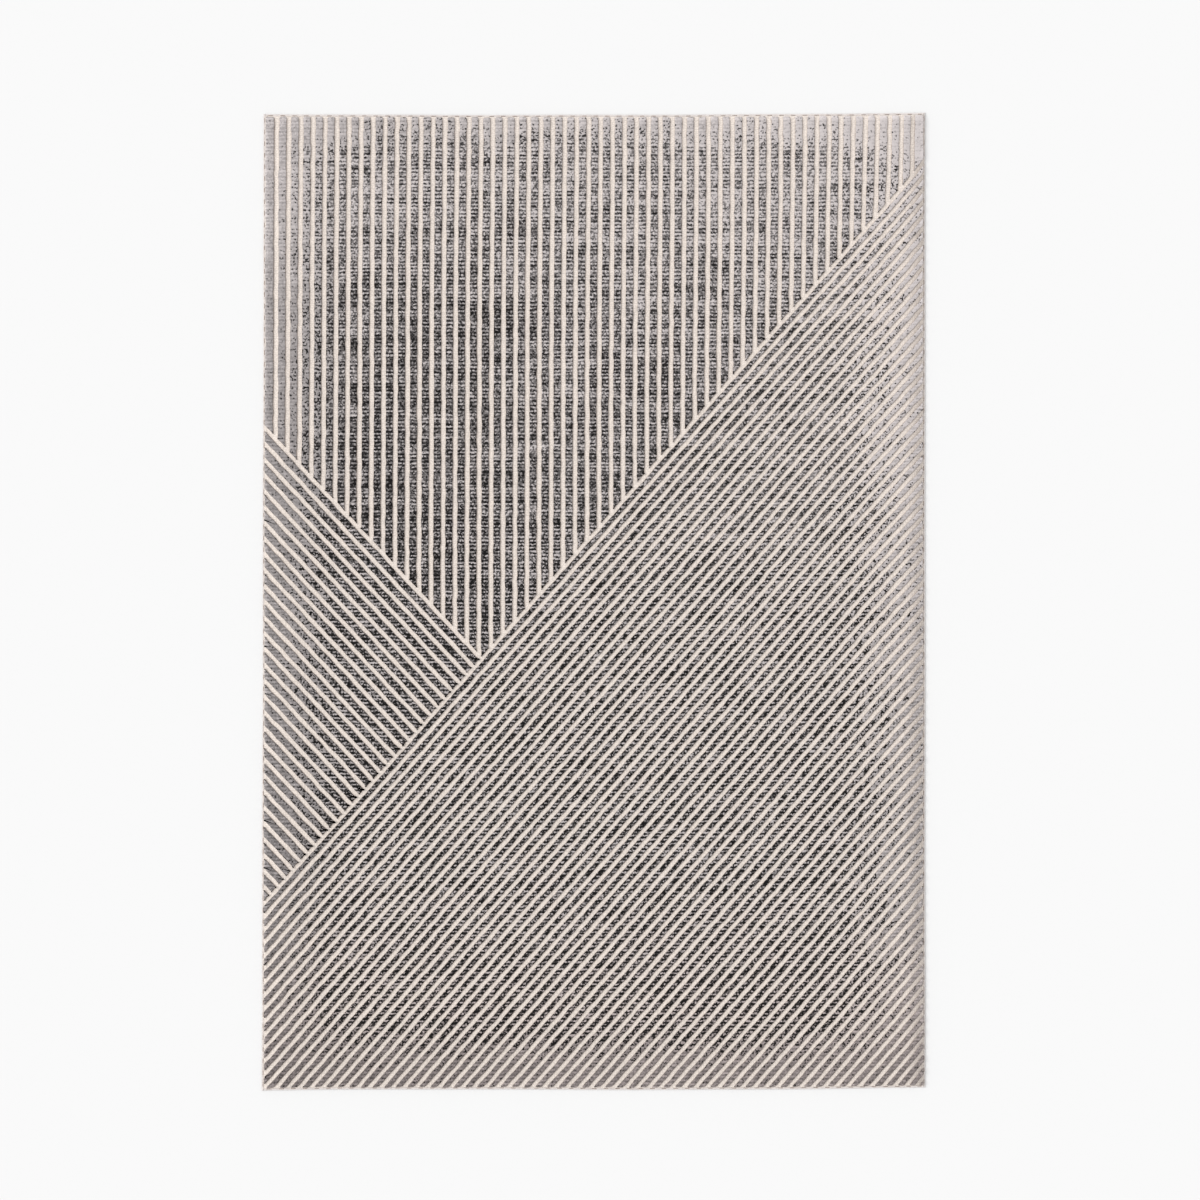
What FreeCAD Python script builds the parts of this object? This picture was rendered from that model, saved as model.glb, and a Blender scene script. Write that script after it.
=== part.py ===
"""A machine-woven area rug with grey pile ribs carved in three directions over a cream woven face.

Frame: X across the width, Y along the length, Z up. The origin is the middle of the underside.
Every size is in millimetres. The pattern is laid out from one point, the apex, where the two
diagonal grooves meet. The nearest upright groove runs a little to its left.
"""

import FreeCAD, Part
import math
import os

# Overall size
rug_width = 1600.0
rug_length = 2355.0

# The stack of layers, from the floor up
back_coat_thickness = 0.8
weft_thickness = 1.2
warp_thickness = 1.0
pile_root_thickness = 0.6
cream_pile_height = 2.9
rib_stand = 4.5  # how far a grey rib stands above the cream pile

# Edge finish: yarn wrapped round a cord on the long sides, and round two heading rods on the ends
edge_yarn_thickness = 0.8
side_serging_width = 4.2
end_binding_width = 5.6
heading_rods_per_end = 2
border_strip = 1.0  # plain cream pile between an edge finish and the ends of the ribs

# Lock stitches on the edge finish
stitch_length = 11.0
stitch_width = 0.9
stitch_height = 0.5
stitch_pitch = 28.0

# The pattern
apex_x = -271.0
apex_y = -139.0
main_angle = 48.3  # the long diagonal rises this steeply to the right, in degrees
left_angle = 46.8  # the short diagonal rises this steeply to the left, in degrees
wedge_pitch = 28.94
wedge_groove_width = 10.9
wedge_offset = 6.5  # how far left of the apex the nearest upright groove runs
triangle_pitch = 26.1
triangle_groove_width = 9.8
field_pitch = 21.0
field_groove_width = 9.4

# A blank care label, pressed into the back coat
label_width = 35.0
label_length = 60.0
label_thickness = 0.25
label_clearance = 0.05
label_corner_inset = 90.0  # from the rug's right and lower edges to the label's middle

# Heights worked out from the stack
weft_bottom = back_coat_thickness
warp_bottom = weft_bottom + weft_thickness
root_bottom = warp_bottom + warp_thickness
root_top = root_bottom + pile_root_thickness
cream_top = root_top + cream_pile_height
pile_top = cream_top + rib_stand

# Plan sizes worked out from the edge finish
half_width = rug_width / 2
half_length = rug_length / 2
face_half_width = half_width - side_serging_width
face_half_length = half_length - end_binding_width
pile_half_width = face_half_width - border_strip
pile_half_length = face_half_length - border_strip
tongue_thickness = weft_thickness + warp_thickness
cord_radius = tongue_thickness / 2
cord_height = weft_bottom + cord_radius
edge_height = back_coat_thickness + tongue_thickness + edge_yarn_thickness
web_half_width = half_width - edge_yarn_thickness - 2 * cord_radius
web_half_length = half_length - edge_yarn_thickness - 2 * cord_radius * heading_rods_per_end
reach = math.hypot(rug_width, rug_length)  # longer than any line across the rug

FORWARD = FreeCAD.Vector(0, 1, 0)
RIGHT = FreeCAD.Vector(1, 0, 0)
UP = FreeCAD.Vector(0, 0, 1)
apex = FreeCAD.Vector(apex_x, apex_y, 0)


def slab(half_x, half_y, bottom, top):
    """A flat block centred on the rug's middle."""
    corner = FreeCAD.Vector(-half_x, -half_y, bottom)
    return Part.makeBox(2 * half_x, 2 * half_y, top - bottom, corner)


def bar_through_apex(angle, first_offset, last_offset, bottom, top):
    """A long block along a line at an angle, between two offsets to the line's right-hand side."""
    corner = FreeCAD.Vector(-reach, -last_offset, bottom)
    bar = Part.makeBox(2 * reach, last_offset - first_offset, top - bottom, corner)
    bar.rotate(FreeCAD.Vector(0, 0, 0), UP, angle)
    bar.translate(apex)
    return bar


def grooves(angle, pitch, width, first, last, start=0.0):
    """The slots that part the ribs of one zone. Slot 0 runs through the apex, or at a start offset."""
    slots = []
    for number in range(first, last + 1):
        offset = start + number * pitch
        slots.append(bar_through_apex(angle, offset - width / 2, offset + width / 2, root_top, pile_top))
    return slots


def export(shape, name):
    """Writes one node."""
    shape.exportStep(os.path.join("parts", name + ".step"))


# ---- the woven web and its back coat ----


def make_care_label(clearance=0.0):
    """The label, or with a clearance the pocket that it lies in."""
    width = label_width + 2 * clearance
    length = label_length + 2 * clearance
    middle_x = half_width - label_corner_inset
    middle_y = label_corner_inset - half_length
    corner = FreeCAD.Vector(middle_x - width / 2, middle_y - length / 2, 0)
    return Part.makeBox(width, length, label_thickness + clearance, corner)


def make_back_coat():
    """The latex back coat, which stops at the edge finish all round."""
    coat = slab(face_half_width, face_half_length, 0, weft_bottom)
    return coat.cut(make_care_label(label_clearance))


def make_weft_layer():
    """The jute wefts, which run on into the edge finish as the lower half of a tongue."""
    return slab(web_half_width, web_half_length, weft_bottom, warp_bottom)


def make_warp_layer():
    """The chain and stuffer warps, the upper half of the tongue."""
    return slab(web_half_width, web_half_length, warp_bottom, root_bottom)


# ---- the pile ----


def pile_zones():
    """The three zones of the pile, as full-height blocks that meet along the two diagonals."""
    sheet = slab(face_half_width, face_half_length, root_bottom, pile_top)
    above_main = bar_through_apex(main_angle, -2 * reach, 0, root_bottom, pile_top)
    below_left = bar_through_apex(-left_angle, 0, 2 * reach, root_bottom, pile_top)
    upper = sheet.common(above_main)
    return {
        "wedge": upper.cut(below_left),
        "triangle": upper.common(below_left),
        "field": sheet.cut(above_main),
    }


def zone_slots():
    """The slots that each zone is carved by. The two diagonals are slot 0 of their own families.

    An upright groove that would run along a side is left out, so the last rib reaches the side.
    """
    first_x = apex_x - wedge_offset
    furthest_x = pile_half_width - wedge_groove_width
    count_left = int((furthest_x + first_x) // wedge_pitch)
    count_right = int((furthest_x - first_x) // wedge_pitch)
    count_triangle = math.ceil(reach / triangle_pitch)
    count_field = math.ceil(reach / field_pitch)
    main_slots = grooves(main_angle, field_pitch, field_groove_width, 0, count_field)
    left_slots = grooves(-left_angle, triangle_pitch, triangle_groove_width, 0, count_triangle)
    upright_slots = grooves(90, wedge_pitch, wedge_groove_width, -count_left, count_right, -wedge_offset)
    return {
        "wedge": upright_slots + [main_slots[0], left_slots[0]],
        "triangle": left_slots + [main_slots[0]],
        "field": main_slots,
    }


def make_piles():
    """Grey pile of each zone: ribs that stand on their own thin sheet of roots."""
    above = slab(half_width, half_length, root_top, pile_top)
    border = above.cut(slab(pile_half_width, pile_half_length, root_top, pile_top))
    slots = zone_slots()
    return {name: block.cut(slots[name] + [border]) for name, block in pile_zones().items()}


def make_cream_pile(piles):
    """The low cream pile that fills every groove and the strip along the edges."""
    sheet = slab(face_half_width, face_half_length, root_top, cream_top)
    return sheet.cut(list(piles.values()))


# ---- the edge finish ----


def edge_profile(inner, outer):
    """The section of an edge wrap in the XZ plane: flat inside, half round outside."""
    radius = edge_height / 2
    low_inner = FreeCAD.Vector(inner, 0, 0)
    low_outer = FreeCAD.Vector(outer - radius, 0, 0)
    tip = FreeCAD.Vector(outer, 0, radius)
    high_outer = FreeCAD.Vector(outer - radius, 0, edge_height)
    high_inner = FreeCAD.Vector(inner, 0, edge_height)
    edges = [
        Part.LineSegment(low_inner, low_outer).toShape(),
        Part.Arc(low_outer, tip, high_outer).toShape(),
        Part.LineSegment(high_outer, high_inner).toShape(),
        Part.LineSegment(high_inner, low_inner).toShape(),
    ]
    return Part.Face(Part.Wire(edges))


def rod(centre_x, length):
    """A round strand along Y at the height of the tongue's middle."""
    start = FreeCAD.Vector(centre_x, -length / 2, cord_height)
    return Part.makeCylinder(cord_radius, length, start, FORWARD)


def edge_wrap(half_span, width, length, closed_ends):
    """Yarn wrapped round the web's edge at +X: a sleeve along Y, slotted for the tongue and a strand."""
    inner = half_span - width
    strand_x = half_span - edge_yarn_thickness - cord_radius
    slot_length = length - 2 * edge_yarn_thickness if closed_ends else length
    sleeve = edge_profile(inner, half_span).extrude(FORWARD * length)
    sleeve.translate(-FORWARD * (length / 2))
    slot_corner = FreeCAD.Vector(inner, -slot_length / 2, weft_bottom)
    slot = Part.makeBox(strand_x - inner, slot_length, tongue_thickness, slot_corner)
    return sleeve.cut([slot, rod(strand_x, slot_length)])


def make_side_serging():
    """The serging of the right side. It runs past the ends of the web and closes over the cord."""
    return edge_wrap(half_width, side_serging_width, rug_length, closed_ends=True)


def make_end_binding():
    """The binding of the top end, made at +X and as long as the space between the two sergings."""
    return edge_wrap(half_length, end_binding_width, 2 * face_half_width, closed_ends=False)


def make_selvedge_cord():
    """The cord inside the right serging."""
    return rod(half_width - edge_yarn_thickness - cord_radius, rug_length - 2 * edge_yarn_thickness)


def make_heading():
    """The thick closing wefts inside the top binding, made at +X as separate rods side by side."""
    first_x = half_length - edge_yarn_thickness - cord_radius
    rods = [rod(first_x - 2 * cord_radius * n, 2 * web_half_width) for n in range(heading_rods_per_end)]
    return Part.makeCompound(rods)


def make_stitching(half_span, width, length):
    """A row of lock stitches that lies along the middle of an edge wrap's flat top, at +X."""
    inner = half_span - width
    flat_width = width - edge_height / 2
    line_x = inner + flat_width / 2
    count = int((length - stitch_length) // stitch_pitch) + 1
    first_y = -stitch_pitch * (count - 1) / 2
    stitches = []
    for number in range(count):
        middle_y = first_y + number * stitch_pitch
        corner = FreeCAD.Vector(line_x - stitch_width / 2, middle_y - stitch_length / 2, edge_height)
        stitches.append(Part.makeBox(stitch_width, stitch_length, stitch_height, corner))
    return Part.makeCompound(stitches)


def turned(shape, degrees):
    """A copy turned about the Z axis through the origin."""
    copy = shape.copy()
    copy.rotate(FreeCAD.Vector(0, 0, 0), UP, degrees)
    return copy


def export_pair(shape, names, turn):
    """Writes a piece made at +X to the two opposite edges that it serves."""
    for name, degrees in zip(names, (turn, turn + 180)):
        export(turned(shape, degrees), name)


os.makedirs("parts", exist_ok=True)

export(make_back_coat(), "back_coat")
export(make_weft_layer(), "weft_layer")
export(make_warp_layer(), "warp_layer")
export(make_care_label(), "care_label")

piles = make_piles()
for zone, pile in piles.items():
    export(pile, zone + "_pile")
export(make_cream_pile(piles), "cream_pile")

side_stitching = make_stitching(half_width, side_serging_width, rug_length)
end_stitching = make_stitching(half_length, end_binding_width, 2 * face_half_width)
export_pair(make_side_serging(), ("right_serging", "left_serging"), 0)
export_pair(make_selvedge_cord(), ("right_selvedge_cord", "left_selvedge_cord"), 0)
export_pair(side_stitching, ("right_stitching", "left_stitching"), 0)
export_pair(make_end_binding(), ("top_binding", "bottom_binding"), 90)
export_pair(make_heading(), ("top_heading", "bottom_heading"), 90)
export_pair(end_stitching, ("top_stitching", "bottom_stitching"), 90)
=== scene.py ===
"""The looks of a machine-woven area rug: carved grey pile, low cream pile, wrapped edges and a jute back."""

import math
import random

import bmesh
import bpy
import numpy as np
from mathutils import Matrix, Vector, noise


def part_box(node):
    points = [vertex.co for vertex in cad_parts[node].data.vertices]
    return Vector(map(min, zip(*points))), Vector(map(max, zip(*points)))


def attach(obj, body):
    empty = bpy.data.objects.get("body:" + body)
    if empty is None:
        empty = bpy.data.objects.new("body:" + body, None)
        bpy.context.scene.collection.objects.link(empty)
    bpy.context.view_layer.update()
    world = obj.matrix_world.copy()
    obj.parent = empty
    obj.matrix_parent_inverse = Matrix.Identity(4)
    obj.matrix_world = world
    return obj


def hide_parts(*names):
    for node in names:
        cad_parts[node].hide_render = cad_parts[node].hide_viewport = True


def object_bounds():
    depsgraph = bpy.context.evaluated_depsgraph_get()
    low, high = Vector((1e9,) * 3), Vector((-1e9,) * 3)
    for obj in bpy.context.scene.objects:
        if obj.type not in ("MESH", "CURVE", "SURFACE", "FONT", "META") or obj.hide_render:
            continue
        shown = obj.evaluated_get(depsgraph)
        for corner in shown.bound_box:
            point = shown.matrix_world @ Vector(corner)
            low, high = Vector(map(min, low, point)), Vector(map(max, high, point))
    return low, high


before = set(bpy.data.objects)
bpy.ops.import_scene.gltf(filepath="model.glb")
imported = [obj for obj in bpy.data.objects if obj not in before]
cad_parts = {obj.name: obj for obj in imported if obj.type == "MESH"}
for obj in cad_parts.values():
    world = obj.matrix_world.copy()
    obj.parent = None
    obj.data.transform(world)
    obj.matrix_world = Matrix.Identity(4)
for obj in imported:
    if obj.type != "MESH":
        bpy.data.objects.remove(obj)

cad_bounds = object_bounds()
MM = 0.001

# ---- places taken from the frame ----

face_low, face_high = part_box("cream_pile")
root_low, rib_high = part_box("wedge_pile")
coat_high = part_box("back_coat")[1]
serging_low, serging_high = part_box("right_serging")
binding_low, binding_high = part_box("top_binding")
label_low, label_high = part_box("care_label")
rug_high = cad_bounds[1]
half_width = rug_high.x
half_length = rug_high.y
face_half_width = face_high.x
face_half_length = face_high.y
root_top = face_low.z
cream_top = face_high.z
rib_top = rib_high.z

# ---- the pattern, laid out from the point where the diagonals meet ----

apex = Vector((-271 * MM, -139 * MM, 0))
main_angle = math.radians(48.3)
left_angle = math.radians(-46.8)
upright = math.radians(90)
wedge_pitch, wedge_groove = 28.94 * MM, 10.9 * MM
wedge_start = -6.5 * MM  # the nearest upright groove runs a little to the left of the apex
triangle_pitch, triangle_groove = 26.1 * MM, 9.8 * MM
field_pitch, field_groove = 21.0 * MM, 9.4 * MM
border_strip = 1.0 * MM
pile_half_width = face_half_width - border_strip
pile_half_length = face_half_length - border_strip

# ---- the make of the cloth ----

row_pitch = 8.92 * MM  # two rows of tufts, which read as one cross bar on a rib
tuft_height = row_pitch / 2
ridge_pitch = tuft_height / 2  # the grids of the back and the low pile have a line for each ridge and dip
grid_columns = 32
tuft_width = 3.4 * MM
border_corner = 4.0 * MM
diagonal_corner = 1.8 * MM
smallest_rib = 3.0 * MM
rib_wander = 1.5 * MM  # how far a rib strays from its true line
row_wander = 0.30 * MM
tuft_wander = 0.40 * MM
shoulder_steps = ((0.7 * MM, 2.1 * MM), (0.9 * MM, 1.0 * MM))  # inwards and upwards
tuft_inset = 1.1 * MM
tuft_crown = 0.5 * MM
loop_dip = 0.4 * MM
rib_foot = cream_top - 0.6 * MM
rib_shoulder = cream_top + 1.2 * MM
weft_ridge = 0.35 * MM
pocket_gap = Vector((0.6 * MM, 0.6 * MM, 0))
pocket_clearance = 0.06 * MM
hair = 0.1 * MM  # for telling whether a corner lies on an edge
weld = 0.001 * MM

# ---- the make of the edges ----

wrap_pitch = 3.0 * MM
wrap_slant = 1.1 * MM
steps_per_wrap = 3
points_round = 12
end_swell = 0.6  # how full a wrap is at the very end of its run, and where two turns meet
dip_swell = 0.84
stitch_pitch = 28 * MM
stitch_length = 11 * MM
thread_radius = 0.55 * MM
thread_sink = 0.15 * MM

# ---- the light ----

studio_light = 1.27  # how much light reaches a level surface, so that white pile shows brighter than 1


# ---- helpers for meshes ----


def line_normal(angle):
    """The direction across a line, to its right-hand side."""
    return Vector((math.sin(angle), -math.cos(angle), 0))


def everything(bm):
    """All the geometry of a mesh, as the cutting operator wants it."""
    return bm.verts[:] + bm.edges[:] + bm.faces[:]


def cut(bm, point, normal, drop_beyond=False, drop_before=False):
    """Cuts a sheet along a line, and drops one side of it if asked."""
    bmesh.ops.bisect_plane(
        bm,
        geom=everything(bm),
        dist=weld,
        plane_co=point,
        plane_no=normal,
        clear_outer=drop_beyond,
        clear_inner=drop_before,
    )


def flat_sheet(half_x, half_y, height, columns=1, rows=1):
    """A flat sheet in a chosen number of columns and rows."""
    bm = bmesh.new()
    spread = Matrix.Translation((0, 0, height)) @ Matrix.Diagonal((half_x, half_y, 1, 1))
    bmesh.ops.create_grid(bm, x_segments=columns, y_segments=rows, size=1, matrix=spread)
    return bm


def verts_in(items):
    """The corners among mixed geometry."""
    return [item for item in items if isinstance(item, bmesh.types.BMVert)]


def faces_in(items):
    """The faces among mixed geometry."""
    return [item for item in items if isinstance(item, bmesh.types.BMFace)]


def rise_of(values, start, end):
    """0 before a start, 1 after an end, and even between them."""
    return np.clip((values - start) / (end - start), 0, 1)


def hill(across, along, middle, reach):
    """A smooth hill of height 1 over the plan, for a place where the cloth is drawn or pushed."""
    return np.exp(-(((across - middle[0]) / reach[0]) ** 2) - ((along - middle[1]) / reach[1]) ** 2)


def lean_sideways(points, across, along, inner):
    """Moves the ribs aside where they stand off their true lines. Nothing moves at the very sides."""
    x, y = points[:, 0].copy(), points[:, 1].copy()
    # The upright ribs lean to the right near the top
    above = (y - apex.y) * math.cos(main_angle) - (x - apex.x) * math.sin(main_angle)
    lean = 4.7 * rise_of(y, 250 * MM, 1100 * MM) ** 1.6 * rise_of(above, 0, 220 * MM)
    lean *= 0.75 + 0.9 * rise_of(across, 0.4, 1.0)
    # The last of them stand wider apart in the upper right corner
    spread = 5.5 * rise_of(across, 0.76, 0.95) * rise_of(along, 0.78, 0.88)
    # The oblique ribs are drawn towards the upper left on the right-hand side
    drawn = hill(across, along, (0.82, 0.08), (0.30, 0.42)) * inner
    # They are pushed out again below the upper right corner
    pushed = hill(across, along, (0.78, 0.76), (0.30, 0.25)) * inner
    # They are pushed to the right at the foot and on the left
    at_foot = rise_of(-along, 0.6, 1.0) ** 1.5 * (2.6 + 3.4 * across**2)
    on_left = 1.8 * hill(across, along, (-0.75, -0.35), (0.35, 0.35))
    points[:, 0] += (lean + spread + at_foot + on_left) * inner * MM
    points[:, 0] += (1.7 * pushed - 3.2 * drawn) * MM
    points[:, 1] += (2.4 * drawn - 1.6 * pushed * rise_of(-np.abs(along), -1.0, -0.9)) * MM


def settle(points):
    """Lays the straight design down as a woven rug lies: a little out of true, its edges a hair up."""
    across, along = points[:, 0] / half_width, points[:, 1] / half_length
    leftness, rightness = (1 - across) / 2, (1 + across) / 2
    inner = 1 - across**24
    lean_sideways(points, across, along, inner)
    # The left side leans out towards the foot, and the ends are not quite square
    points[:, 0] += (2.4 * leftness * along + 1.3 * rightness) * MM
    top = 0.3 + 1.6 * across + 3.3 * across**2
    bottom = 3.4 * across**3 - 0.8 - 1.1 * np.sin(3.4 * across + 1.1)
    points[:, 1] += (top * rise_of(along, 0.2, 1.0) + bottom * rise_of(-along, 0.2, 1.0)) * MM
    # Slow waves all over, and edges that lift a little off the floor
    points[:, 0] += 0.35 * MM * np.sin(9.1 * along + 3.2 * across)
    points[:, 1] += 0.30 * MM * np.sin(11.0 * across + 2.3 * along)
    edge = rise_of(np.maximum(np.abs(across), np.abs(along)), 0.93, 1.0) ** 2
    ripple = 0.5 + 0.5 * np.sin(5.3 * across + 2.2) * np.sin(7.7 * along + 0.9)
    points[:, 2] += 0.9 * MM * edge * ripple
    return points


def map_from_above(mesh, places, under_share):
    """Gives a wide piece a UV map seen from above, its underside beside its upper side.

    A long thin piece is left without one.
    """
    narrowest_share = 0.1
    margin = 0.004
    low, span = places.min(0), np.ptp(places, axis=0)
    across, along = (1, 0) if span[0] > span[1] else (0, 1)
    if span[across] < narrowest_share * span[along]:
        return
    corner_verts = np.empty(len(mesh.loops), dtype=np.int32)
    mesh.loops.foreach_get("vertex_index", corner_verts)
    normals = np.empty(len(mesh.polygons) * 3, dtype=np.float32)
    mesh.polygons.foreach_get("normal", normals)
    sizes = np.empty(len(mesh.polygons), dtype=np.int32)
    mesh.polygons.foreach_get("loop_total", sizes)
    below = np.repeat(normals.reshape(-1, 3)[:, 2] < -0.2, sizes)
    plan = (places[corner_verts] - low) / np.maximum(span, MM)
    upper = margin + (1 - under_share - 2 * margin) * plan[:, across]
    under = 1 - under_share + margin + (under_share - 2 * margin) * plan[:, across]
    spots = np.stack([np.where(below, under, upper), margin + (1 - 2 * margin) * plan[:, along]], axis=1)
    layer = mesh.uv_layers.new(name="OFBake")
    layer.data.foreach_set("uv", spots.astype(np.float32).ravel())


def piece_from(bm, name, material, replaced, under_share=0.5):
    """Turns a mesh into a finished piece that lies with the rug and stands for its CAD nodes."""
    bmesh.ops.recalc_face_normals(bm, faces=bm.faces[:])
    mesh = bpy.data.meshes.new(name)
    bm.to_mesh(mesh)
    bm.free()
    places = np.empty(len(mesh.vertices) * 3, dtype=np.float32)
    mesh.vertices.foreach_get("co", places)
    places = settle(places.reshape(-1, 3).astype(np.float64))
    mesh.vertices.foreach_set("co", places.astype(np.float32).ravel())
    mesh.polygons.foreach_set("use_smooth", np.ones(len(mesh.polygons), dtype=bool))
    mesh.materials.append(material)
    mesh.update()
    map_from_above(mesh, places, under_share)
    made = bpy.data.objects.new(name, mesh)
    bpy.context.scene.collection.objects.link(made)
    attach(made, "root")
    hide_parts(*replaced)
    return made


# ---- helpers for materials ----


class Value:
    """A number that varies over a surface. Arithmetic on it adds Math nodes to its material."""

    def __init__(self, paint, socket):
        self.paint = paint
        self.socket = socket

    def maths(self, operation, *others):
        inputs = {0: self, **{place + 1: other for place, other in enumerate(others)}}
        return self.paint.node("ShaderNodeMath", {"operation": operation}, inputs)

    def __add__(self, other):
        return self.maths("ADD", other)

    def __sub__(self, other):
        return self.maths("SUBTRACT", other)

    def __mul__(self, other):
        return self.maths("MULTIPLY", other)

    def __truediv__(self, other):
        return self.maths("DIVIDE", other)

    def __pow__(self, other):
        return self.maths("POWER", other)

    def __rsub__(self, other):
        return self.paint.node("ShaderNodeMath", {"operation": "SUBTRACT"}, {0: other, 1: self})

    __radd__ = __add__
    __rmul__ = __mul__


class Paint:
    """A material made of nodes, with one Principled shader."""

    def __init__(self, name):
        self.material = bpy.data.materials.new(name)
        self.material.use_nodes = True
        self.tree = self.material.node_tree
        self.shader = self.tree.nodes["Principled BSDF"]
        place = self.node("ShaderNodeTexCoord", output="Object")
        self.x = self.node("ShaderNodeSeparateXYZ", {}, {0: place}, "X")
        self.y = self.node("ShaderNodeSeparateXYZ", {}, {0: place}, "Y")
        self.z = self.node("ShaderNodeSeparateXYZ", {}, {0: place}, "Z")

    def node(self, kind, settings=None, inputs=None, output=0):
        """Adds a node: its settings first, then its sockets' values or links."""
        made = self.tree.nodes.new(kind)
        for name, value in (settings or {}).items():
            setattr(made, name, value)
        for name, value in (inputs or {}).items():
            self.feed(made.inputs[name], value)
        return Value(self, made.outputs[output])

    def feed(self, socket, value):
        """Gives a socket a plain value or a link."""
        if isinstance(value, Value):
            self.tree.links.new(value.socket, socket)
        else:
            socket.default_value = value

    def stretched(self, along_x, along_y, shift):
        """Coordinates in units of a grain's width and height, for patterns that are longer one way."""
        inputs = {0: self.x / along_x + shift, 1: self.y / along_y + shift}
        return self.node("ShaderNodeCombineXYZ", {}, inputs)

    def noise(self, along_x, along_y, detail=2.0, roughness=0.5, shift=0.0):
        """Smooth noise from about 0 to 1, with features of a given size."""
        inputs = {"Vector": self.stretched(along_x, along_y, shift), "Scale": 1.0}
        inputs.update({"Detail": detail, "Roughness": roughness})
        return self.node("ShaderNodeTexNoise", {"noise_dimensions": "2D"}, inputs, "Fac")

    def cells(self, width, height, output, randomness=0.85, shift=0.0):
        """Irregular cells of a given size, one for each tuft."""
        inputs = {"Vector": self.stretched(width, height, shift), "Scale": 1.0}
        inputs["Randomness"] = randomness
        return self.node("ShaderNodeTexVoronoi", {"voronoi_dimensions": "2D"}, inputs, output)

    def part_of(self, colour, part):
        """One channel of a colour."""
        return self.node("ShaderNodeSeparateColor", {}, {0: colour}, part)

    def wave(self, run, pitch):
        """An even wave from 0 to 1 along a direction."""
        return (run * (2 * math.pi / pitch)).maths("COSINE") * 0.5 + 0.5

    def ramp(self, value, low, high, to_low=0.0, to_high=1.0):
        """A smooth step from one value to another."""
        inputs = {"Value": value, "From Min": low, "From Max": high, "To Min": to_low, "To Max": to_high}
        return self.node("ShaderNodeMapRange", {"interpolation_type": "SMOOTHSTEP"}, inputs)

    def mix(self, share, first, second, blend="MIX"):
        """Two colours mixed."""
        settings = {"data_type": "RGBA", "blend_type": blend}
        return self.node("ShaderNodeMix", settings, {0: share, 6: first, 7: second}, 2)

    def tinted(self, tone, tint):
        """A colour that looks as light as a tone from 0 to 255 under the studio light, with a tint."""
        light = ((tone / 255.0 + 0.055) / 1.055) ** 2.4 / studio_light
        grey = self.node("ShaderNodeCombineColor", {}, {0: light, 1: light, 2: light})
        return self.mix(1.0, grey, tint, "MULTIPLY")

    def bump(self, height, strength, distance):
        """Roughens the surface without moving it."""
        inputs = {"Height": height, "Strength": strength, "Distance": distance}
        self.feed(self.shader.inputs["Normal"], self.node("ShaderNodeBump", {}, inputs))

    def finish(self, colour, roughness, sheen=0.0):
        """Sets the shader's colour, roughness and the faint halo of loose fibres."""
        self.feed(self.shader.inputs["Base Color"], colour)
        self.feed(self.shader.inputs["Roughness"], roughness)
        self.shader.inputs["Sheen Weight"].default_value = sheen
        self.shader.inputs["Sheen Roughness"].default_value = 0.5
        self.shader.inputs["Specular IOR Level"].default_value = 0.2
        return self.material


def rgb(red, green, blue):
    """A colour given as it looks on a screen, from 0 to 255, as linear light."""
    parts = [part / 255 for part in (red, green, blue)]
    linear = [part / 12.92 if part <= 0.04045 else ((part + 0.055) / 1.055) ** 2.4 for part in parts]
    return (*linear, 1.0)


# ---- the finishes ----


def heather_reach(paint, x, y):
    """How far the dark heather has set in, from 0 at the rug's plain edges to a little over 1 inside."""
    fully = 1.05
    fringe = paint.noise(130 * MM, 55 * MM, 3.0, 0.65, shift=17.3) - 0.5
    shifted = x - paint.ramp(y, 0.5, 0.95) * 0.05 + fringe * 0.3
    from_left = paint.ramp(x, -0.97, -0.66, 0.0, fully)
    from_right = paint.ramp(shifted, 1.0, 0.58, 0.0, fully)
    from_top = paint.ramp(y, 1.01, 0.87, 0.0, fully)
    from_bottom = paint.ramp(y, -0.965, -0.82, 0.0, fully)
    # Some ribs stay plain for the first stretch below the top
    first_stretch = paint.ramp(paint.y, half_length - 82 * MM, half_length - 76 * MM)
    blocks = paint.cells(3 * wedge_pitch, 160 * MM, "Color", 0.9, shift=4.0)
    kept_plain = paint.ramp(paint.part_of(blocks, "Red"), 0.42, 0.44)
    return from_left * from_right * from_top * from_bottom * (1 - first_stretch * kept_plain * 0.75)


def plain_tone(paint, x, y):
    """The mean tone of the plain grey near the edges: lighter to the right and towards the top."""
    tone = paint.ramp(x, -0.9, 0.9, 132.0, 158.0) + paint.ramp(y, -0.8, 0.95, 0.0, 50.0)
    right = paint.ramp(x, 0.4, 0.9) * paint.ramp(y, -0.4, 0.2)
    upper_left = paint.ramp(x, -0.5, -0.9) * paint.ramp(y, 0.6, 0.85)
    left = paint.ramp(x, -0.6, -0.9) * paint.ramp(y, 0.9, 0.5) * paint.ramp(y, -0.1, 0.3)
    return tone + right * 7.0 + upper_left * 9.0 - left * 8.0


def heather_tone(paint, x, y):
    """The mean tone of the heather: darkest at the foot, lighter towards the top and the right."""
    tone = paint.ramp(y, -0.9, -0.5, 60.0, 75.0) + paint.ramp(y, -0.3, 0.4, 0.0, 32.0)
    tone = tone + paint.ramp(y, 0.4, 0.95, 0.0, 44.0)
    right = paint.ramp(x, 0.1, 0.7) * paint.ramp(y, -0.4, 0.2)
    left = paint.ramp(x, -0.15, -0.35) * paint.ramp(x, -0.9, -0.6)
    left = left * paint.ramp(y, -0.15, 0.1) * paint.ramp(y, 0.85, 0.6)
    return tone + right * 18.0 - left * 18.0


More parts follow.
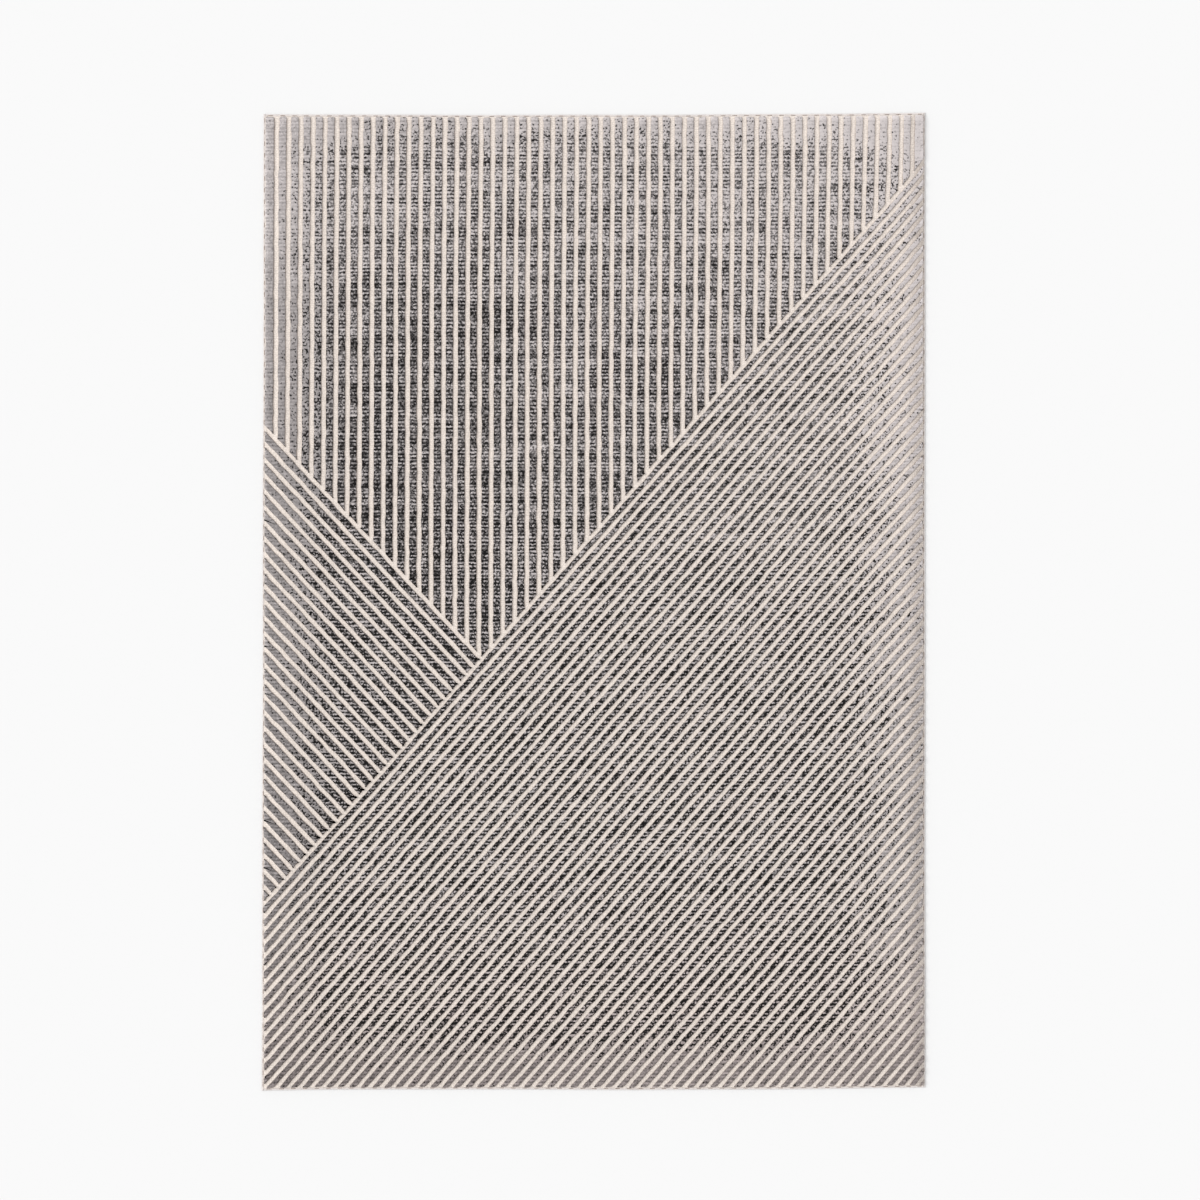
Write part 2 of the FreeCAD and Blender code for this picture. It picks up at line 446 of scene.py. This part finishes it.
def unevenness(paint, tufts, in_field):
    """Long streaks across the rug, shorter patches, fine lines, rows of tufts and single tufts."""
    streaks = paint.noise(420 * MM, 26 * MM, 2.0, 0.6) - 0.5
    patches = paint.noise(75 * MM, 30 * MM, 2.0, 0.6, shift=5.1) - 0.5
    lines = paint.noise(170 * MM, 4.4 * MM, 1.0, 0.5, shift=9.7) - 0.5
    sway = paint.noise(240 * MM, 70 * MM, 1.0, 0.5, shift=2.2)
    bars = (paint.y * (2 * math.pi / row_pitch) + sway * 5.0).maths("COSINE")
    bar_strength = paint.noise(110 * MM, 45 * MM, 2.0, 0.6, shift=13.0)
    uneven = streaks * (125.0 - in_field * 35.0) + patches * 125.0 + lines * 140.0
    uneven = uneven + bars * bar_strength * (90.0 + in_field * 65.0)
    return uneven + (tufts - 0.5) * (165.0 + in_field * 85.0)


def grey_pile_finish():
    """Heathered pile: plain grey at the rug's edges, then charcoal specks, then rows of dark tufts.

    Tones are on a scale of 0 to 255, as they look under the studio light. Places are in half widths
    and half lengths of the rug.
    """
    darkest, lightest = 20.0, 216.0
    plain_share = 0.21  # how much of the unevenness the plain grey shows
    paint = Paint("grey_pile")
    x, y = paint.x / half_width, paint.y / half_length
    grain = paint.cells(tuft_width, tuft_width, "Color")
    tufts = paint.part_of(grain, "Red")
    leans = paint.part_of(grain, "Green")
    in_field = paint.ramp(y, 0.3, -0.1)
    at_foot = paint.ramp(y, -0.82, -0.96)
    uneven = unevenness(paint, tufts, in_field)
    plain = plain_tone(paint, x, y) + uneven * plain_share
    plain = plain - at_foot * (paint.ramp(x, 0.0, 0.5) * 9.0 + 9.0)
    heathered = paint.ramp(heather_reach(paint, x, y) * 1.1 - tufts, -0.08, 0.08)
    tone = plain + (heather_tone(paint, x, y) + uneven - plain) * heathered
    tone = tone.maths("MAXIMUM", darkest).maths("MINIMUM", lightest - in_field * 16.0)
    # The pile is lighter where it slopes down to the edge finish: partly the lighter sides of its fibres,
    # partly a painted highlight, with less of it at the right edge
    from_sides = half_width - paint.x.maths("ABSOLUTE")
    from_ends = half_length - paint.y.maths("ABSOLUTE")
    rim = paint.ramp(from_sides.maths("MINIMUM", from_ends), 17 * MM, 4 * MM)
    tint = paint.mix(paint.ramp(y, -0.5, -0.95), rgb(255, 246, 245), rgb(255, 239, 236))
    grey = paint.tinted(tone + rim * paint.ramp(x, 0.9, 1.0, 26.0, 14.0), tint)
    # The flanks of the ribs are lighter than the grey: a warm tan, partly cream fibres at their base and
    # partly painted warm shade for the edges of the grooves, painted darker towards the foot so that the
    # grooves there look narrower
    flank_tan_and_shade = paint.ramp(paint.z, rib_foot, rib_shoulder, 205.0, 178.0) - at_foot * 22.0
    flank_tan_and_shade = paint.tinted(flank_tan_and_shade, rgb(255, 236, 224))
    # Each tuft leans over the flank or away from it, which makes the edge of the grey uneven
    leaning = (leans - 0.5) * 3.0 * MM
    on_top = paint.ramp(paint.z + leaning, rib_shoulder, rib_shoulder + 1.4 * MM)
    colour = paint.mix(on_top.maths("MAXIMUM", paint.ramp(rim, 0.3, 0.8)), flank_tan_and_shade, grey)
    domes = 1 - paint.cells(tuft_width / 2, tuft_height / 2, "Distance", 0.7)
    fibres = paint.noise(0.9 * MM, 0.9 * MM, 2.0, 0.7)
    paint.bump(domes * 0.7 + fibres * 0.6, 0.55, 0.9 * MM)
    return paint.finish(colour, 0.93, 0.0)


def cream_pile_finish():
    """Soft warm cream, with the faint beads of its low loops, painted lighter on their tops and darker
    between them as a painted highlight and shade.
    """
    paint = Paint("cream_pile")
    mean_tone = 247.0
    loop_width = 5.8 * MM
    # Painted highlight and shade: each loop's bead is lighter at its top and darker towards its edges
    beads = paint.ramp(paint.cells(loop_width, tuft_height, "Distance", 0.6), 0.6, 0.15)
    drift = paint.noise(60 * MM, 25 * MM, 2.0, 0.5)
    fibres = paint.noise(0.8 * MM, 0.8 * MM, 2.0, 0.7)
    # Painted shade: the cream is a little darker near the foot, where the grooves look narrower
    shade_near_foot = paint.ramp(paint.y, -0.80 * half_length, -0.97 * half_length)
    tone = mean_tone + (beads - 0.5) * 24.0 + (drift - 0.5) * 16.0 - shade_near_foot * 3.0
    paint.bump(beads * 0.8 + fibres * 0.4, 0.35, 0.6 * MM)
    return paint.finish(paint.tinted(tone, rgb(255, 243, 233)), 0.9, 0.0)


def edge_yarn_finish(name, along_y):
    """Pinkish beige overlock yarn, painted browner between its wraps as shade in the dips, and a little
    uneven in tone.
    """
    paint = Paint(name)
    run = paint.y if along_y else paint.x
    wraps = paint.wave(run, wrap_pitch)
    drift = paint.noise(30 * MM, 30 * MM, 2.0, 0.6)
    fibres = paint.noise(0.7 * MM, 0.7 * MM, 2.0, 0.7)
    # Painted shade: the yarn is darker and browner in the dips between the wraps and lighter on their crests,
    # with some uneven tone on top
    light = paint.ramp(wraps * 0.55 + drift * 0.45, 0.15, 0.8)
    colour = paint.mix(light, rgb(188, 178, 174), rgb(230, 225, 222))
    paint.bump(wraps * 0.6 + fibres * 0.5, 0.4, 0.5 * MM)
    return paint.finish(colour, 0.85, 0.1)


def stitch_finish():
    """Brown sewing thread with a twist."""
    paint = Paint("stitch_thread")
    twist = ((paint.x + paint.y) * (2 * math.pi / (1.1 * MM))).maths("SINE") * 0.5 + 0.5
    colour = paint.mix(twist, rgb(112, 88, 76), rgb(158, 134, 120))
    paint.bump(twist, 0.4, 0.2 * MM)
    return paint.finish(colour, 0.7)


def jute_back_finish():
    """Jute wefts under a thin, patchy latex coat."""
    paint = Paint("jute_back")
    warp_pitch = 3.6 * MM
    wefts = paint.wave(paint.y, tuft_height)
    warps = paint.wave(paint.x, warp_pitch)
    slubs = paint.noise(22 * MM, 2.2 * MM, 3.0, 0.6)
    latex = paint.noise(40 * MM, 40 * MM, 3.0, 0.6, shift=3.1)
    jute = paint.mix(paint.ramp(slubs, 0.3, 0.7), rgb(148, 118, 84), rgb(203, 176, 138))
    knots = paint.mix(wefts * warps * 0.6, jute, rgb(222, 208, 190))
    colour = paint.mix(paint.ramp(latex, 0.45, 0.75, 0.1, 0.5), knots, rgb(214, 204, 184))
    paint.bump(wefts * 0.7 + warps * wefts * 0.5 + slubs * 0.4, 0.6, 0.6 * MM)
    return paint.finish(colour, paint.ramp(latex, 0.4, 0.8, 0.85, 0.6))


def label_finish():
    """A blank woven label with a fine satin rib."""
    paint = Paint("label_cloth")
    rib = paint.wave(paint.x, 0.6 * MM)
    shade = paint.noise(6 * MM, 6 * MM, 2.0, 0.5)
    colour = paint.mix(rib * 0.3 + shade * 0.5, rgb(226, 223, 217), rgb(244, 242, 238))
    paint.bump(rib, 0.3, 0.1 * MM)
    return paint.finish(colour, 0.55)


# ---- the pile ----


def rib_plan(limits, angle, pitch, groove, start, margin):
    """The plan of one zone's ribs: a sheet inside the zone's limits, with the grooves taken out.

    The nearest groove to the apex runs at a start offset from it. A groove that would run nearer
    than the margin to the end of the sheet is left out.
    """
    bm = flat_sheet(pile_half_width, pile_half_length, rib_foot)
    for limit_angle, offset, keep_right in limits:
        normal = line_normal(limit_angle)
        cut(bm, apex + normal * offset, normal, drop_beyond=not keep_right, drop_before=keep_right)
    normal = line_normal(angle)
    offsets = [(vert.co - apex).dot(normal) - start for vert in bm.verts]
    first = math.ceil((min(offsets) + margin) / pitch)
    last = math.floor((max(offsets) - margin) / pitch)
    for number in range(first, last + 1):
        for side in (-groove / 2, groove / 2):
            cut(bm, apex + normal * (start + number * pitch + side), normal)
    left_out = []
    for face in bm.faces:
        offset = (face.calc_center_median() - apex).dot(normal) - start
        nearest = round(offset / pitch)
        in_groove = first <= nearest <= last and abs(offset - nearest * pitch) < groove / 2
        sliver = 2 * face.calc_area() / face.calc_perimeter() < smallest_rib
        if in_groove or sliver:
            left_out.append(face)
    bmesh.ops.delete(bm, geom=left_out, context="FACES")
    return bm


def round_corners(bm):
    """Rounds the ends of the ribs in plan: widely at the border, tightly along the diagonals."""
    border, inner = [], []
    for vert in bm.verts:
        at_side = abs(vert.co.x) > pile_half_width - hair
        at_end = abs(vert.co.y) > pile_half_length - hair
        (border if at_side or at_end else inner).append(vert)
    for corners, reach in ((border, border_corner), (inner, diagonal_corner)):
        bmesh.ops.bevel(
            bm,
            geom=corners,
            affect="VERTICES",
            offset=reach,
            offset_type="OFFSET",
            segments=3,
            profile=0.5,
            material=-1,
            clamp_overlap=True,
        )


def cut_rows(bm):
    """Cuts the ribs across into rows of tufts, which run straight across the rug."""
    first = math.ceil(min(vert.co.y for vert in bm.verts) / row_pitch)
    last = math.floor(max(vert.co.y for vert in bm.verts) / row_pitch)
    uncut = bm.faces[:]
    for row in range(first, last + 1):
        height = row * row_pitch
        uncut = [face for face in uncut if max(vert.co.y for vert in face.verts) > height]
        reached = [face for face in uncut if min(vert.co.y for vert in face.verts) < height]
        around = [part for face in reached for part in (*face.edges, *face.verts)]
        touched = reached + list(dict.fromkeys(around))
        parts = bmesh.ops.bisect_plane(
            bm, geom=touched, dist=weld, plane_co=(0, height, 0), plane_no=(0, 1, 0)
        )["geom"]
        uncut = list(dict.fromkeys(uncut + faces_in(parts)))


def wander(bm, seed):
    """Moves each row, and each tuft in it, a little off its line."""
    most_rows = 600
    stray_length = 24 * MM
    chance = random.Random(seed)
    row_shifts = [chance.uniform(-row_wander, row_wander) for _ in range(most_rows)]
    for vert in bm.verts:
        stray = noise.noise_vector(vert.co / stray_length) * rib_wander
        shift = row_shifts[round(vert.co.y / row_pitch) + most_rows // 2]
        vert.co.x += stray.x + shift + chance.uniform(-tuft_wander, tuft_wander)
        vert.co.y += stray.y + chance.uniform(-tuft_wander, tuft_wander)


def raise_ribs(bm, seed):
    """Raises the plan into ribs with round shoulders and a crown on each row of tufts."""
    smallest_tuft = 0.35 * row_pitch * field_groove
    chance = random.Random(seed)
    straight = rib_top - rib_foot - tuft_crown - sum(step[1] for step in shoulder_steps)
    foot = bm.faces[:]
    raised = bmesh.ops.extrude_face_region(bm, geom=foot, use_keep_orig=True)["geom"]
    tops = faces_in(raised)
    bmesh.ops.translate(bm, verts=verts_in(raised), vec=(0, 0, straight))
    for inwards, upwards in shoulder_steps:
        bmesh.ops.inset_region(
            bm, faces=tops, thickness=inwards, depth=0, use_boundary=True, use_even_offset=False
        )
        corners = list(dict.fromkeys(vert for face in tops for vert in face.verts))
        bmesh.ops.translate(bm, verts=corners, vec=(0, 0, upwards))
    whole = [face for face in tops if face.calc_area() > smallest_tuft]
    bmesh.ops.inset_individual(bm, faces=whole, thickness=tuft_inset, depth=0, use_even_offset=False)
    for face in whole:
        rise = tuft_crown * chance.uniform(0.5, 1.0)
        for vert in face.verts:
            vert.co.z += rise
    bmesh.ops.reverse_faces(bm, faces=foot)


def make_ribs(name, node, seed, limits, angle, pitch, groove, start=0.0, margin=None):
    """The ribs of one zone. Without a margin, its grooves run on past the corners of the sheet."""
    if margin is None:
        margin = -pitch
    bm = rib_plan(limits, angle, pitch, groove, start, margin)
    round_corners(bm)
    cut_rows(bm)
    wander(bm, seed)
    raise_ribs(bm, seed)
    return piece_from(bm, name, grey_pile, [node], under_share=0.2)


def close_below(bm, lower):
    """Makes a sheet into a closed slab, whose other side is flat at a given height."""
    kept = bm.faces[:]
    made = bmesh.ops.extrude_face_region(bm, geom=kept, use_keep_orig=True)["geom"]
    for vert in verts_in(made):
        vert.co.z = lower


def make_cream_pile():
    """The low cream pile, with a soft bar for each row of loops."""
    rows = round(2 * face_half_length / ridge_pitch)
    bm = flat_sheet(face_half_width, face_half_length, cream_top, grid_columns, rows)
    for vert in bm.verts:
        row = round((vert.co.y + face_half_length) / (2 * face_half_length) * rows)
        vert.co.z -= loop_dip * (row % 2)
    close_below(bm, root_top)
    return piece_from(bm, "cream_low_pile", cream_pile, ["cream_pile"])


# ---- the back ----


def cut_beside_pocket(bm, pocket_low, pocket_high):
    """Cuts the back along the four sides of the label's pocket, but only near the pocket."""
    reach = 5 * MM
    near = [
        face
        for face in bm.faces
        if pocket_low.y - reach < face.calc_center_median().y < pocket_high.y
    ]
    beside = dict.fromkeys(item for face in near for item in (face, *face.edges, *face.verts))
    for corner in (pocket_low, pocket_high):
        for normal in (Vector((1, 0, 0)), Vector((0, 1, 0))):
            parts = bmesh.ops.bisect_plane(bm, geom=list(beside), dist=weld, plane_co=corner, plane_no=normal)
            beside.update(dict.fromkeys(parts["geom"]))


def make_back():
    """The woven web and its back coat: one closed slab with a ridge for every weft underneath.

    Inside the edge finish the slab is only as thick as the web. Round the label it has a pocket.
    """
    web_low, web_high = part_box("weft_layer")
    rows = round(2 * web_high.y / ridge_pitch)
    bm = flat_sheet(web_high.x, web_high.y, 0, grid_columns, rows)
    for edge in (-coat_high.x, coat_high.x):
        cut(bm, Vector((edge, 0, 0)), Vector((1, 0, 0)))
    for edge in (-coat_high.y, coat_high.y):
        cut(bm, Vector((0, edge, 0)), Vector((0, 1, 0)))
    pocket_low, pocket_high = label_low - pocket_gap, label_high + pocket_gap
    cut_beside_pocket(bm, pocket_low, pocket_high)
    for vert in bm.verts:
        row = round((vert.co.y + web_high.y) / (2 * web_high.y) * rows)
        inside_wrap = abs(vert.co.x) > coat_high.x + hair or abs(vert.co.y) > coat_high.y + hair
        at_label_x = pocket_low.x - hair / 10 < vert.co.x < pocket_high.x + hair / 10
        at_label_y = pocket_low.y - hair / 10 < vert.co.y < pocket_high.y + hair / 10
        vert.co.z = coat_high.z if inside_wrap else weft_ridge * (row % 2)
        if at_label_x and at_label_y:
            vert.co.z = label_high.z + pocket_clearance
    close_below(bm, root_low.z)
    replaced = ["back_coat", "weft_layer", "warp_layer"]
    return piece_from(bm, "woven_back", jute_back, replaced)


def make_label():
    """The blank care label, its edges turned under."""
    corner_radius = 2 * MM
    hem_width = 2.2 * MM
    hem_depth = 0.06 * MM
    strips = 8
    bm = bmesh.new()
    size = label_high - label_low
    middle = (label_high + label_low) / 2
    place = Matrix.Translation(middle) @ Matrix.Diagonal((*size, 1))
    bmesh.ops.create_cube(bm, size=1, matrix=place)
    upright_edges = [edge for edge in bm.edges if abs(edge.verts[0].co.z - edge.verts[1].co.z) > hair]
    bmesh.ops.bevel(
        bm,
        geom=upright_edges,
        affect="EDGES",
        offset=corner_radius,
        segments=3,
        profile=0.5,
        material=-1,
    )
    under = min(bm.faces, key=lambda face: face.calc_center_median().z)
    bmesh.ops.inset_region(bm, faces=[under], thickness=hem_width, depth=-hem_depth)
    for step in range(1, strips):
        cut(bm, Vector((0, label_low.y + size.y * step / strips, 0)), Vector((0, 1, 0)))
    return piece_from(bm, "blank_care_label", label_cloth, ["care_label"])


# ---- the yarn and the stitches of the edges ----


def make_wrap(name, nodes, low, high, degrees, material):
    """Yarn wrapped round one edge. It is shaped along +Y at the +X side, and then turned to its edge."""
    width, length, height = high - low
    middle = (high + low) / 2
    steps = round(length / wrap_pitch) * steps_per_wrap
    bm = flat_sheet(1, 1, 0, points_round, steps)
    for vert in bm.verts:
        round_it = math.pi * (vert.co.x + 1)
        step = round((vert.co.y + 1) / 2 * steps)
        swell = 1.0 if step % steps_per_wrap else dip_swell
        if step in (0, steps):
            swell = end_swell
        out, up = math.cos(round_it), math.sin(round_it)
        if out < 0:
            up = math.copysign(max(abs(up), min(1.0, 4 * abs(up))), up)
        slant = wrap_slant * out * (0 < step < steps)
        vert.co.x = middle.x + out * swell * width / 2
        vert.co.y = low.y + length * step / steps + slant
        vert.co.z = middle.z + up * swell * height / 2
    bmesh.ops.remove_doubles(bm, verts=bm.verts[:], dist=0.01 * MM)
    open_ends = [edge for edge in bm.edges if edge.is_boundary]
    bmesh.ops.holes_fill(bm, edges=open_ends, sides=0)
    turn_to_edge(bm, degrees)
    return piece_from(bm, name, material, nodes)


def turn_to_edge(bm, degrees):
    """Turns what was made at the +X side to the edge that it serves."""
    turn = Matrix.Rotation(math.radians(degrees), 3, "Z")
    bmesh.ops.rotate(bm, verts=bm.verts[:], cent=(0, 0, 0), matrix=turn)


def make_stitches(name, node, low, high, degrees):
    """A row of lock stitches, each a short arch of thread that dips into the wrap at both ends."""
    bends = ((0.12, 0.35), (0.2, 0.2), (0.36, 0.0), (0.2, -0.2), (0.12, -0.35))  # share of length, rise
    bm = bmesh.new()
    start = Vector(((low.x + high.x) / 2, -stitch_length / 2, low.z))
    place = Matrix.Translation(start) @ Matrix.Rotation(math.radians(90), 4, "X")
    bmesh.ops.create_circle(bm, cap_ends=True, segments=6, radius=thread_radius, matrix=place)
    face = next(iter(bm.faces))
    for share, rise in bends:
        grown = bmesh.ops.extrude_face_region(bm, geom=[face])["geom"]
        face = faces_in(grown)[0]
        bmesh.ops.translate(bm, verts=verts_in(grown), vec=(0, share * stitch_length, rise * MM))
    bmesh.ops.translate(bm, verts=bm.verts[:], vec=(0, 0, -thread_sink))
    one = everything(bm)
    count = int((high.y - low.y - stitch_length) / stitch_pitch + 0.5) + 1
    for number in range(count):
        copied = bmesh.ops.duplicate(bm, geom=one)["geom"]
        place_y = (number - (count - 1) / 2) * stitch_pitch
        bmesh.ops.translate(bm, verts=verts_in(copied), vec=(0, place_y, 0))
    bmesh.ops.delete(bm, geom=verts_in(one), context="VERTS")
    turn_to_edge(bm, degrees)
    return piece_from(bm, name, stitch_thread, [node])


def turned_box(low, high):
    """The box of a piece at the top end, as if it lay at the +X side."""
    return Vector((low.y, low.x, low.z)), Vector((high.y, high.x, high.z))


# ---- the set ----


def make_set():
    """A pale floor, soft light from the left and all round, and a camera straight above."""
    lens, sensor = 85, 36
    view_width = 2.897  # metres seen across at the height of the pile
    floor_tone = 0.772
    bm = flat_sheet(25, 25, -0.3 * MM)
    mesh = bpy.data.meshes.new("floor")
    bm.to_mesh(mesh)
    bm.free()
    paint = Paint("pale_floor")
    mesh.materials.append(paint.finish((floor_tone, floor_tone, floor_tone, 1), 0.95))
    floor = bpy.data.objects.new("floor", mesh)
    bpy.context.scene.collection.objects.link(floor)

    sun = bpy.data.lights.new("soft_key", "SUN")
    sun.energy = 1.75
    sun.angle = math.radians(38)
    key = bpy.data.objects.new("soft_key", sun)
    key.rotation_euler = Vector((-1.0, 0.25, 1.15)).to_track_quat("Z", "Y").to_euler()
    bpy.context.scene.collection.objects.link(key)

    world = bpy.data.worlds.new("studio")
    world.use_nodes = True
    world.node_tree.nodes["Background"].inputs["Color"].default_value = (1, 1, 1, 1)
    world.node_tree.nodes["Background"].inputs["Strength"].default_value = 0.82
    bpy.context.scene.world = world
    bpy.context.scene.view_settings.view_transform = "Standard"

    camera = bpy.data.cameras.new("camera")
    camera.lens = lens
    camera.sensor_width = sensor
    camera.clip_end = 200
    view = bpy.data.objects.new("camera", camera)
    view.location = (15.7 * MM, 4.8 * MM, rib_top + view_width * lens / sensor)
    bpy.context.scene.collection.objects.link(view)
    bpy.context.scene.camera = view


make_set()
grey_pile = grey_pile_finish()
cream_pile = cream_pile_finish()
side_yarn = edge_yarn_finish("side_yarn", along_y=True)
end_yarn = edge_yarn_finish("end_yarn", along_y=False)
stitch_thread = stitch_finish()
jute_back = jute_back_finish()
label_cloth = label_finish()

half_main = field_groove / 2
half_left = triangle_groove / 2
field_middle = 28 * field_pitch
ribs = [
    make_ribs(
        "wedge_ribs",
        "wedge_pile",
        11,
        [(main_angle, -half_main, False), (left_angle, -half_left, False)],
        upright,
        wedge_pitch,
        wedge_groove,
        start=wedge_start,
        margin=wedge_groove,
    ),
    make_ribs(
        "triangle_ribs",
        "triangle_pile",
        12,
        [(main_angle, -half_main, False), (left_angle, half_left, True)],
        left_angle,
        triangle_pitch,
        triangle_groove,
    ),
    make_ribs(
        "near_field_ribs",
        "field_pile",
        13,
        [(main_angle, half_main, True), (main_angle, field_middle, False)],
        main_angle,
        field_pitch,
        field_groove,
    ),
    make_ribs(
        "far_field_ribs",
        "field_pile",
        14,
        [(main_angle, field_middle, True)],
        main_angle,
        field_pitch,
        field_groove,
    ),
]
low_pile = make_cream_pile()
back = make_back()
label = make_label()

sides = (("right", 0), ("left", 180))
ends = (("top", 90), ("bottom", 270))
side_box = serging_low, serging_high
end_box = turned_box(binding_low, binding_high)
side_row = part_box("right_stitching")
end_row = turned_box(*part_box("top_stitching"))
for side, degrees in sides:
    nodes = [side + "_serging", side + "_selvedge_cord"]
    make_wrap(side + "_serging_yarn", nodes, *side_box, degrees, side_yarn)
for end, degrees in ends:
    nodes = [end + "_binding", end + "_heading"]
    make_wrap(end + "_binding_yarn", nodes, *end_box, degrees, end_yarn)
for side, degrees in sides:
    make_stitches(side + "_edge_stitches", side + "_stitching", *side_row, degrees)
for end, degrees in ends:
    make_stitches(end + "_edge_stitches", end + "_stitching", *end_row, degrees)
